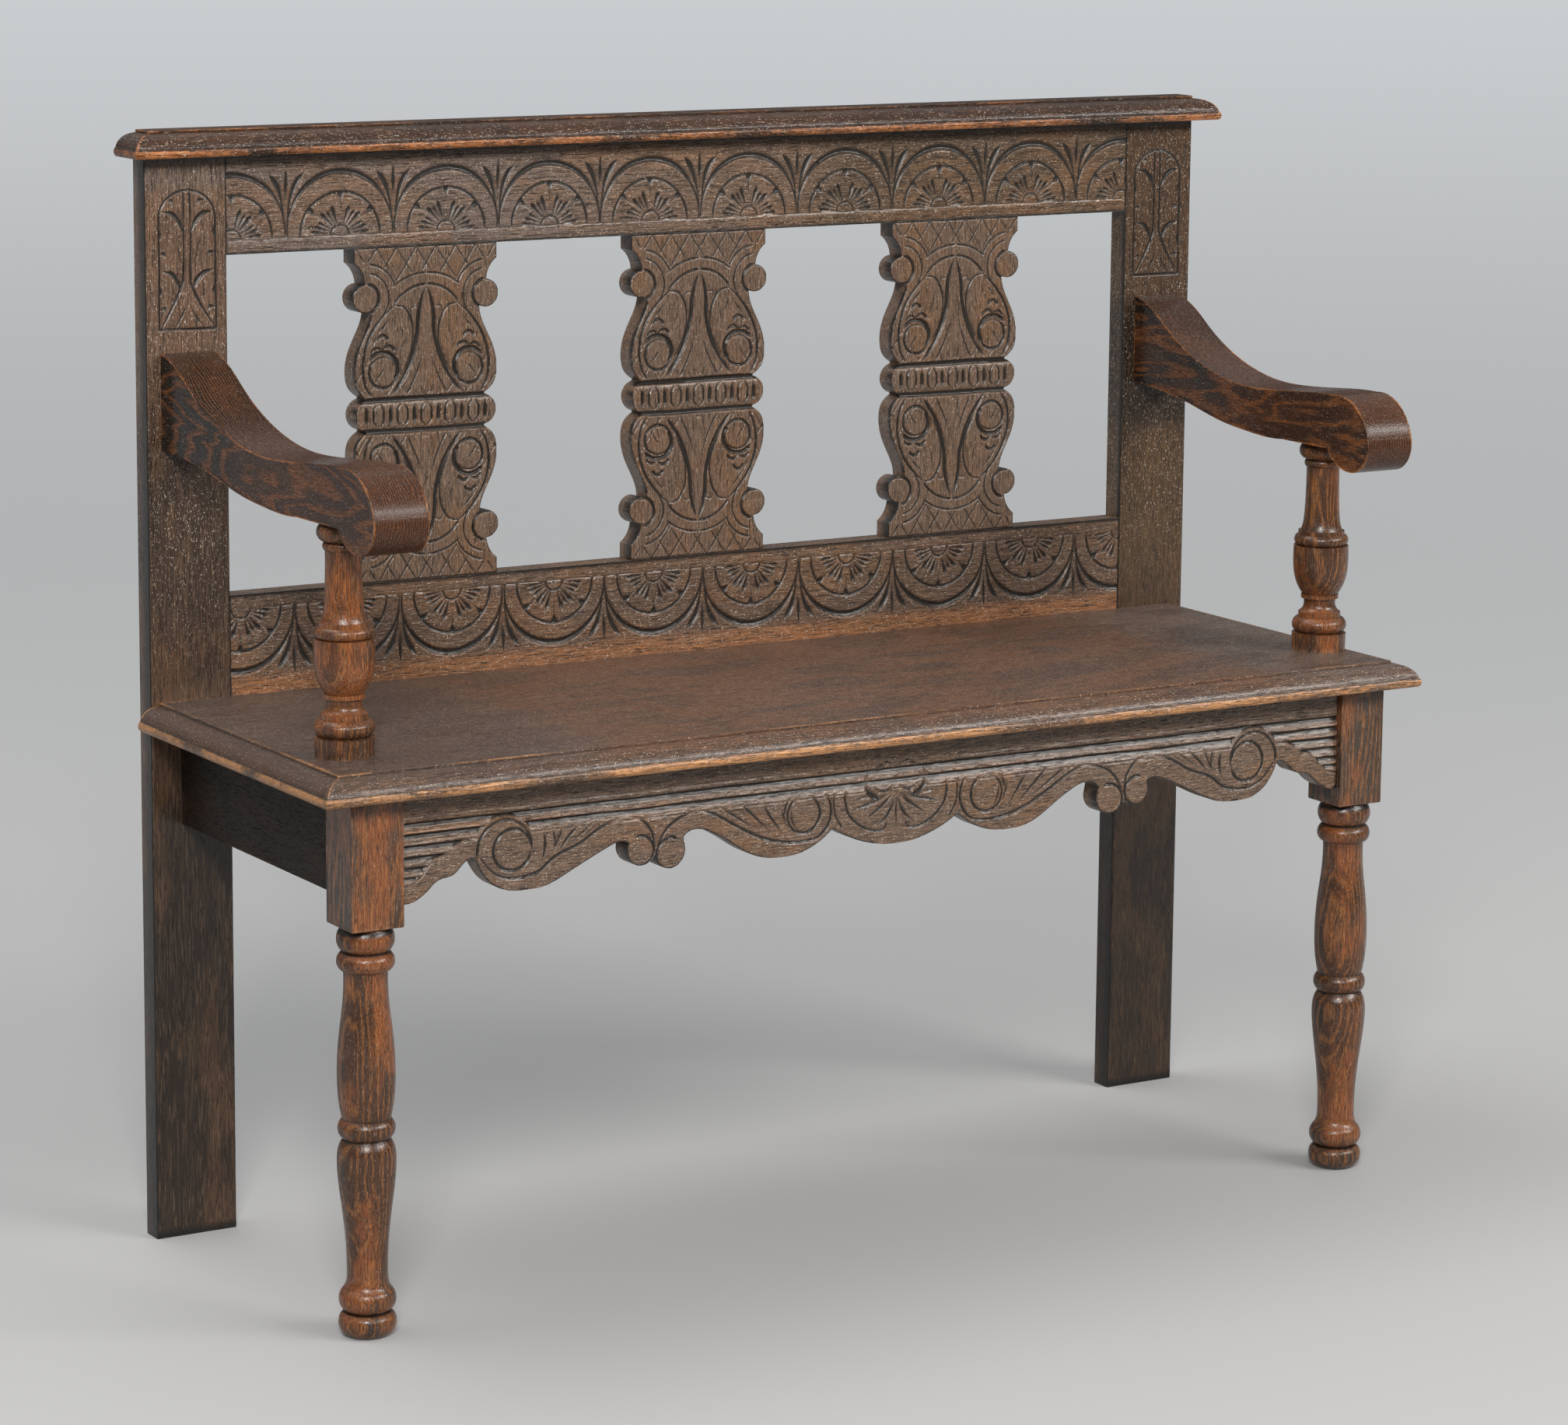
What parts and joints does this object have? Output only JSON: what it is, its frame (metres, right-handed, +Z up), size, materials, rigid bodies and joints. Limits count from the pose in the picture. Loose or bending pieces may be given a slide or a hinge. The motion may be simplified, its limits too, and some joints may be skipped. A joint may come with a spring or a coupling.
{
  "type": "hall bench",
  "caption": "Hall bench with an open carved splat back, moulded cap and seat, scrolled arms on turned supports and turned front legs under a carved apron.",
  "frame": {"origin": "on the floor under the middle of the bench, midway between the arms' noses and the wall side of the back", "axes": "+X along the bench, to the right as seen from the front; +Y from the front to the wall side; +Z up"},
  "size_m": [1.084, 0.3811, 0.936],
  "materials": {
    "carved_oak": "dark stained and waxed oak, worn lighter on the carved edges",
    "moulded_oak": "dark stained and waxed oak with rubbed orange-brown noses",
    "seat_oak": "satin waxed oak, smooth from use",
    "arm_oak": "semi-gloss polished oak with rubbed edges",
    "turned_oak": "semi-gloss polished oak, dark in the quirks",
    "plain_oak": "dark stained oak, unpolished",
    "steel": "dull steel wood screws"
  },
  "bodies": {
    "root": {"left_post": "carved_oak", "right_post": "carved_oak", "top_rail": "carved_oak", "bottom_rail": "carved_oak", "splat_left": "carved_oak", "splat_middle": "carved_oak", "splat_right": "carved_oak", "front_apron": "carved_oak", "top_cap": "moulded_oak", "seat_board": "seat_oak", "left_arm": "arm_oak", "right_arm": "arm_oak", "left_arm_support": "turned_oak", "right_arm_support": "turned_oak", "left_front_leg": "turned_oak", "right_front_leg": "turned_oak", "left_side_rail": "plain_oak", "right_side_rail": "plain_oak", "back_seat_rail": "plain_oak", "left_front_glue_block": "plain_oak", "left_back_glue_block": "plain_oak", "right_front_glue_block": "plain_oak", "right_back_glue_block": "plain_oak", "cap_dowels": "plain_oak", "arm_screws": "steel", "seat_screws": "steel"}
  },
  "joints": []
}
